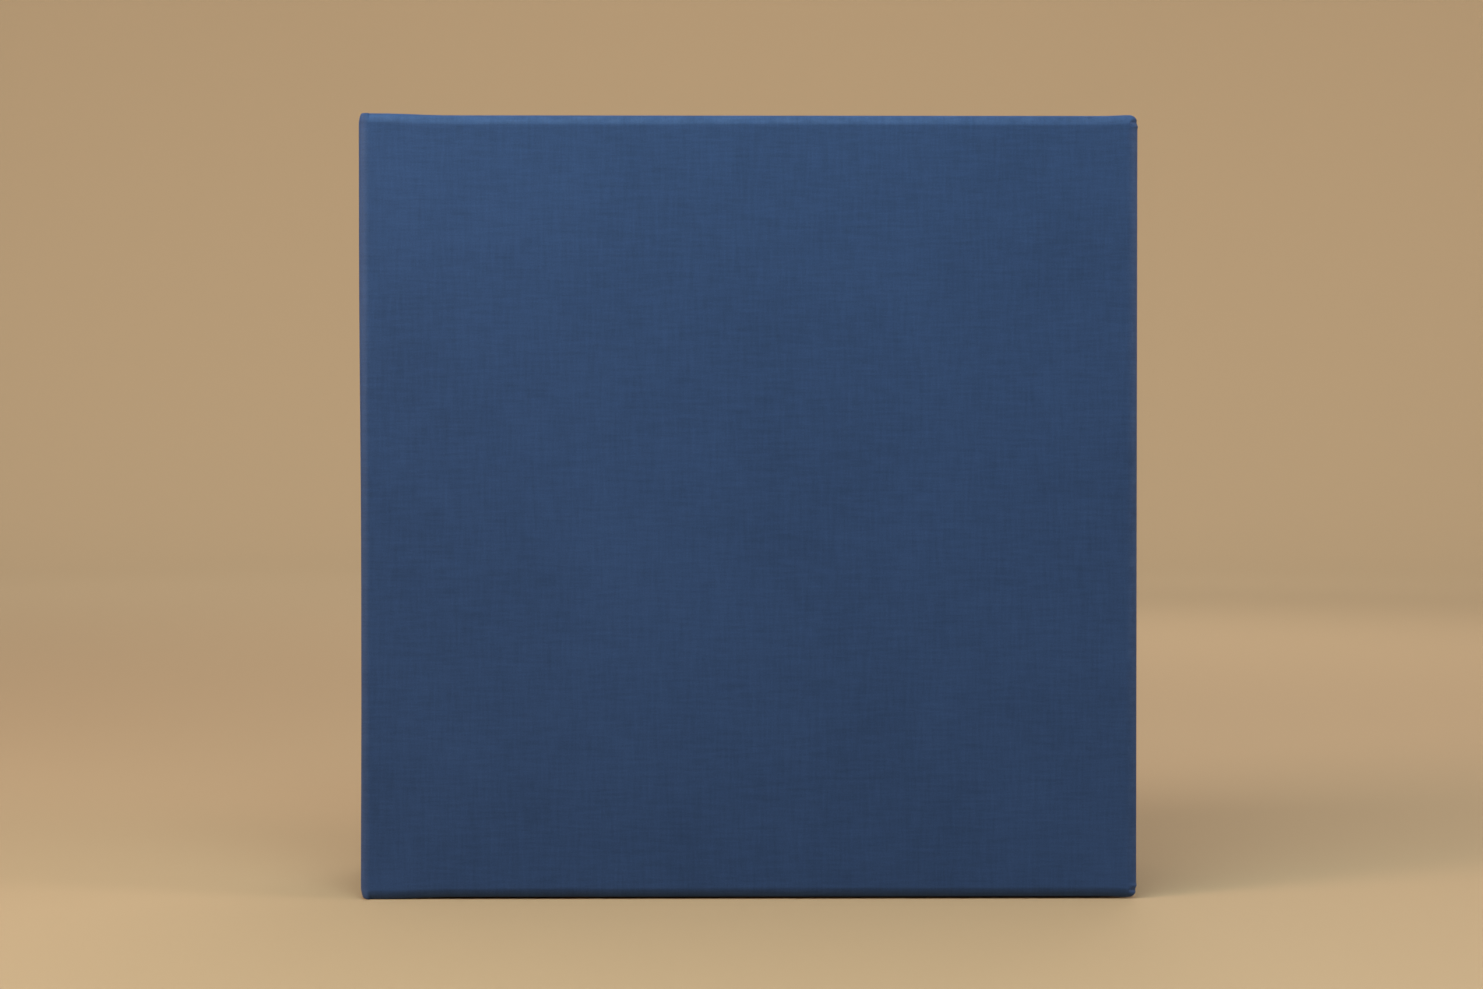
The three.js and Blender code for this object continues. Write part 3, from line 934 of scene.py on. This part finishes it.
def add_softbox(name, place, aim, size, power, color=WHITE):
    data = bpy.data.lights.new(name, "AREA")
    data.shape = "RECTANGLE"
    data.size, data.size_y = size
    data.energy = power
    data.color = color
    light = bpy.data.objects.new(name, data)
    light.location = place
    direction = np.array(aim, float) - np.array(place, float)
    light.rotation_euler = Vector(direction).to_track_quat("-Z", "Y").to_euler()
    bpy.context.scene.collection.objects.link(light)


KRAFT = (0.305, 0.214, 0.121, 1.0)
FLAT_RINGS = (0.4, 1.2, 2.2)
FLOOR_REACH = 3.2  # the floor is flat this far from the box, then rises into a wall
WALL_BEND = 1.6
WALL_HEIGHT = 2.6
BACKDROP_ROWS = 13
BACKDROP_SIDES = 64


def backdrop_mesh(level):
    """A flat round floor that curves up into a wall all round, open at the top."""
    bend = np.linspace(0, math.pi / 2, BACKDROP_ROWS)
    out = [*FLAT_RINGS, *(FLOOR_REACH + WALL_BEND * np.sin(bend)), FLOOR_REACH + WALL_BEND]
    up = [0] * len(FLAT_RINGS) + [*(WALL_BEND * (1 - np.cos(bend))), WALL_HEIGHT]
    turns = np.linspace(0, 2 * math.pi, BACKDROP_SIDES, endpoint=False)
    points = [(0, 0, level)]
    points += [(r * math.cos(t), r * math.sin(t), level + z) for r, z in zip(out, up) for t in turns]
    count = len(turns)
    faces = [(0, 1 + i, 1 + (i + 1) % count) for i in range(count)]
    for ring in range(len(out) - 1):
        first = 1 + ring * count
        for i in range(count):
            j = (i + 1) % count
            faces.append((first + i, first + count + i, first + count + j, first + j))
    mesh = bpy.data.meshes.new("floor")
    mesh.from_pydata(points, [], faces)
    mesh.shade_smooth()
    return mesh


def add_floor():
    """The floor and walls round the box, in a plain matt brown."""
    floor = bpy.data.objects.new("floor", backdrop_mesh(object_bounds()[0].z))
    bpy.context.scene.collection.objects.link(floor)
    finish = Finish("floor")
    finish.put(finish.shader.inputs["Base Color"], KRAFT)
    finish.put(finish.shader.inputs["Roughness"], 0.9)
    finish.put(finish.shader.inputs["Specular IOR Level"], 0.1)
    floor.data.materials.append(finish.material)


def add_world():
    world = bpy.data.worlds.new("world")
    world.use_nodes = True
    background = world.node_tree.nodes["Background"]
    background.inputs["Color"].default_value = (1.0, 0.97, 0.92, 1.0)
    background.inputs["Strength"].default_value = 0.2
    bpy.context.scene.world = world
    bpy.context.scene.view_settings.view_transform = "Standard"


BOX_MIDDLE = (0, 0, (TAIL + HEAD) / 2)
WALL_LAMP_OUT = 2.4
WALL_LAMP_HEIGHT = 2.5
WALL_AIM_OUT = 4.4
WALL_AIM_HEIGHT = 0.3


def add_lights():
    """Softboxes on the box, and lamps that face away from it and light the walls all round."""
    add_softbox(
        "overhead", place=(-0.1, -0.48, 0.85), aim=(0, -0.1, 0.1), size=(0.8, 0.4), power=9.3,
        color=(0.75, 1.0, 1.06),
    )
    add_softbox(
        "left", place=(-1.7, -0.8, 0.8), aim=BOX_MIDDLE, size=(0.6, 1.0), power=31, color=(1.36, 1.0, 0.86)
    )
    add_softbox(
        "right", place=(1.7, -0.45, 0.7), aim=BOX_MIDDLE, size=(0.4, 1.0), power=17, color=(1.18, 1.0, 1.0)
    )
    add_softbox("behind", place=(0.5, 1.5, 1.2), aim=BOX_MIDDLE, size=(1.2, 1.0), power=12)
    walls = (
        ("backdrop", 0, 1, 114, (0.94, 1.0, 1.06)),
        ("left wall", -1, 0, 80, WHITE),
        ("right wall", 1, 0, 80, WHITE),
        ("near wall", 0, -1, 80, WHITE),
    )
    for name, x, y, power, color in walls:
        place = (WALL_LAMP_OUT * x, WALL_LAMP_OUT * y, WALL_LAMP_HEIGHT)
        aim = (WALL_AIM_OUT * x, WALL_AIM_OUT * y, WALL_AIM_HEIGHT)
        add_softbox(name, place, aim, size=(4, 0.8), power=power, color=color)
    add_softbox(
        "ceiling", place=(0, 0.2, 2.7), aim=(0, 0.2, 0), size=(4, 4), power=30, color=(0.95, 0.98, 1.02)
    )


add_camera()
dress_boards()
add_covers(add_joints())
add_hinge_cloth()
add_tray("lid_tray", "lid", FRONT)
add_tray("base_tray", "base", BACK)
add_floor()
add_world()
add_lights()
